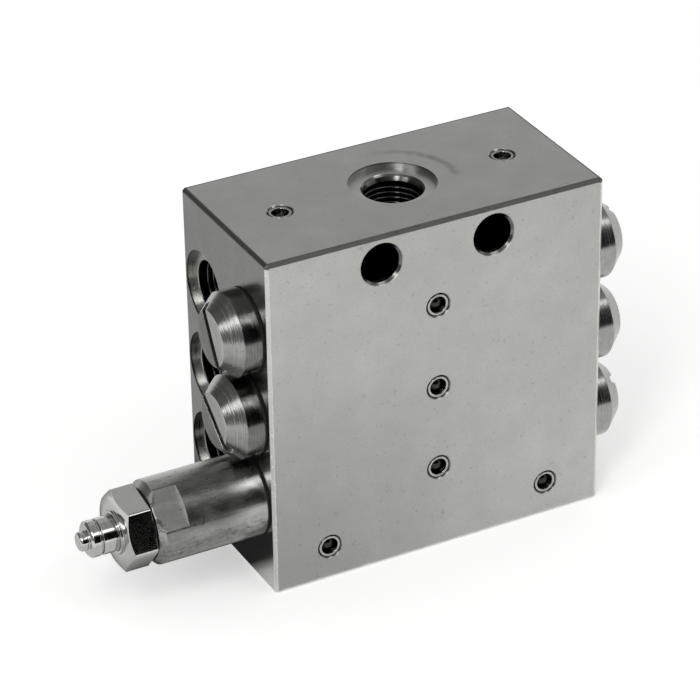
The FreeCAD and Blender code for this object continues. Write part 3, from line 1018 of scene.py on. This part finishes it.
# %% Indicator pin
spigot_radius = 1.45 * mm
rod_radius = 2.0 * mm
stem_radius = 3.0 * mm
stem_start = 11.4 * mm
stem_end = 26.9 * mm
pin_groove_radius = 2.5 * mm
pin_groove_end = 27.3 * mm
pin_head_end = 28.9 * mm
pin_head_edge = 0.4 * mm
pin_tip_radius = 1.6 * mm
pin_tip_round = 0.6 * mm
pin_tip_steps = 6
pin_columns = 96


def pin():
    """The pin: spigot, rod, stem, groove, head and a tip whose end is a quarter circle. It rides on the
    bottom piston, whose left end it is screwed into."""
    node = "indicator_pin"
    start, end = reach_of(node)
    joint = -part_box("piston_bottom")[0].x - side
    turn = np.linspace(0, math.pi / 2, pin_tip_steps + 1)
    tip = np.stack([end - pin_tip_round * (1 - np.sin(turn)),
                    pin_tip_radius - pin_tip_round * (1 - np.cos(turn))], axis=1)
    body = rounded([
        (start, 0), (start, spigot_radius), (joint, spigot_radius), (joint, rod_radius),
        (stem_start, rod_radius), (stem_start, stem_radius), (stem_end, stem_radius),
        (stem_end, pin_groove_radius), (pin_groove_end, pin_groove_radius),
        (pin_groove_end, stem_radius), (pin_head_end - pin_head_edge, stem_radius),
        (pin_head_end, stem_radius - pin_head_edge), (pin_head_end, pin_tip_radius),
        tuple(tip[0]),
    ], rim_cut)
    outline = np.vstack([body, tip[1:], [(end, 0)]])
    points = about_x(outline[:, :1], outline[:, 1:], round_angles(pin_columns), axis_of(node), -1)
    finished("stroke_pin", points, "pin_steel", node, "piston_bottom")


# %% [markdown]
# ## Expanders
# Each drilling is closed by an expander: a small cup with a ball pressed down into it, which swells the
# cup against its hole. The cup's rim is softly rounded, so from a step away it reads as a narrow light
# ring between the dark edge of its hole and the dark inside.


# %% Expander cups
cup_radius = 1.88 * mm
cup_bore = 1.42 * mm
cup_floor = 0.5 * mm
cup_rim_cut = 0.16 * mm
cup_columns = 64


def turned_about(mouth, inward, depth, radius, angle):
    """Points about any axis: the mouth, plus inward times depth, plus the radius at an angle."""
    depth, radius, angle = np.broadcast_arrays(depth, radius, angle)
    first = np.roll(np.abs(inward), 1)
    second = np.cross(inward, first)
    around = first * np.cos(angle)[..., None] + second * np.sin(angle)[..., None]
    return mouth + inward * depth[..., None] + around * radius[..., None]


def expander_cup(node):
    """The cup of one expander, open to the front or to the top, whichever its own node's box shows."""
    low, high = (np.array(corner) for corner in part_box(node))
    in_top = high[2] > block_top - 1 * mm
    inward = np.array([0.0, 0.0, -1.0]) if in_top else np.array([0.0, 1.0, 0.0])
    centre = (low + high) / 2
    length = abs((high - low) @ inward)
    outline = rounded([
        (length - cup_floor, 0), (length - cup_floor, cup_bore), (0, cup_bore), (0, cup_radius),
        (length, cup_radius), (length, 0),
    ], cup_rim_cut)
    mouth = centre - inward * length / 2
    points = turned_about(mouth, inward, outline[:, :1], outline[:, 1:], round_angles(cup_columns))
    finished(node.replace("sleeve", "cup"), points, "sleeve_steel", node)


# %% [markdown]
# ## Threads in the open ports
# The frame's ports have plain round walls, at the diameter over a screw's crests. A tap cuts a groove
# there that winds inward like a stair, and leaves a ridge between the turns that reaches in as far as the
# drilled hole did. Only the ridge is made here: a rounded triangle carried along a helix, with its foot
# sunk in the wall. A plain lip at the mouth covers the place where the thread begins. It is nearly flat in
# the outlets and a steep cone in the inlet, which leads a screw in. All ports are right-handed: seen from
# outside, the turns go clockwise as they go in.


# %% Threads
thread_foot = 0.05 * mm
thread_section = np.array([
    [-0.44, 0.0], [-0.17, 0.86], [-0.08, 0.98], [0.08, 0.98],
    [0.17, 0.86], [0.44, 0.0], [0.44, -1.0], [-0.44, -1.0],
])
steps_a_turn = 72
lip_cut = 0.04 * mm
lip_columns = 96


def lip(name, mouth, inward, corners):
    """A ring at a port's mouth: a closed outline of depths and radii, carried round the axis."""
    outline = rounded(corners, lip_cut, closed=True)
    points = turned_about(mouth, inward, outline[:, :1], outline[:, 1:], round_angles(lip_columns))
    finished(name, points, "block_steel", loop=True)


def thread(name, mouth, inward, wall, crest, start, pitch, depth):
    """A ridge whose middle is at the angle 2 pi s and the depth start + pitch (s + 1/2), for s from 0 to
    the number of turns. Its crest stands inside the wall by (wall - crest) f(s), where f rises from 0 to 1
    over half a turn at each end."""
    turns = (depth - start) / pitch - 1
    s = np.linspace(0, turns, int(turns * steps_a_turn) + 1)[:, None]
    fade = np.clip(2 * np.minimum(s, turns - s), 0, 1)
    rise = fade * fade * (3 - 2 * fade) * (wall - crest)
    place, level = thread_section[None, :, 0], thread_section[None, :, 1]
    along = start + pitch * (s + 0.5 + place)
    foot = np.where(level < 0, thread_foot, 0)
    radius = wall + foot - np.clip(level, 0, None) * rise
    points = turned_about(mouth, inward, along, radius, full_turn * s)
    ends = [np.broadcast_to(row.mean(axis=0), row.shape)[None] for row in (points[0], points[-1])]
    finished(name, np.concatenate([ends[0], points, ends[1]]), "block_steel", finish=shaded_thread_finish)


inlet_pitch = 0.907 * mm
inlet_wall = 4.865 * mm
inlet_crest = 4.4 * mm
inlet_lip = np.array([(0.28, 4.93), (0.28, 4.88), (0.95, 4.45), (1.02, 4.45), (1.2, 4.93)]) * mm
outlet_pitch = 1.0 * mm
outlet_wall = 5.0 * mm
outlet_crest = 4.45 * mm
outlet_lip = np.array([(0.3, 5.3), (-0.01, 5.3), (-0.01, 4.5), (0.1, 4.36), (0.4, 4.36), (0.6, 5.3)]) * mm
thread_depth = 8.0 * mm


def port(mount):
    """The lip and the turns of one port, at the place and along the axis of its mount."""
    outward = np.array(mount["axis"], float)
    place = np.array(mount["pos_m"], float)
    if mount["name"] == "inlet":
        spot, corners = block_top - inlet_spot_depth, inlet_lip
        wall, crest, pitch = inlet_wall, inlet_crest, inlet_pitch
    else:
        spot, corners = side - outlet_spot_depth, outlet_lip
        wall, crest, pitch = outlet_wall, outlet_crest, outlet_pitch
    mouth = place + outward * (spot - place @ outward)
    under_lip = corners[-2, 0]
    lip("lip_" + mount["name"], mouth, -outward, corners)
    thread("thread_" + mount["name"], mouth, -outward, wall, crest, under_lip, pitch, thread_depth)


# %% Make the pieces
for name in slot_lean:
    screw_plug(name)
housing()
gland()
pin()
for mount in frame["record"]["mounts"]:
    if mount["kind"] == "threaded_hole":
        port(mount)
for node in frame["nodes"]:
    if node.startswith("sleeve_"):
        expander_cup(node)
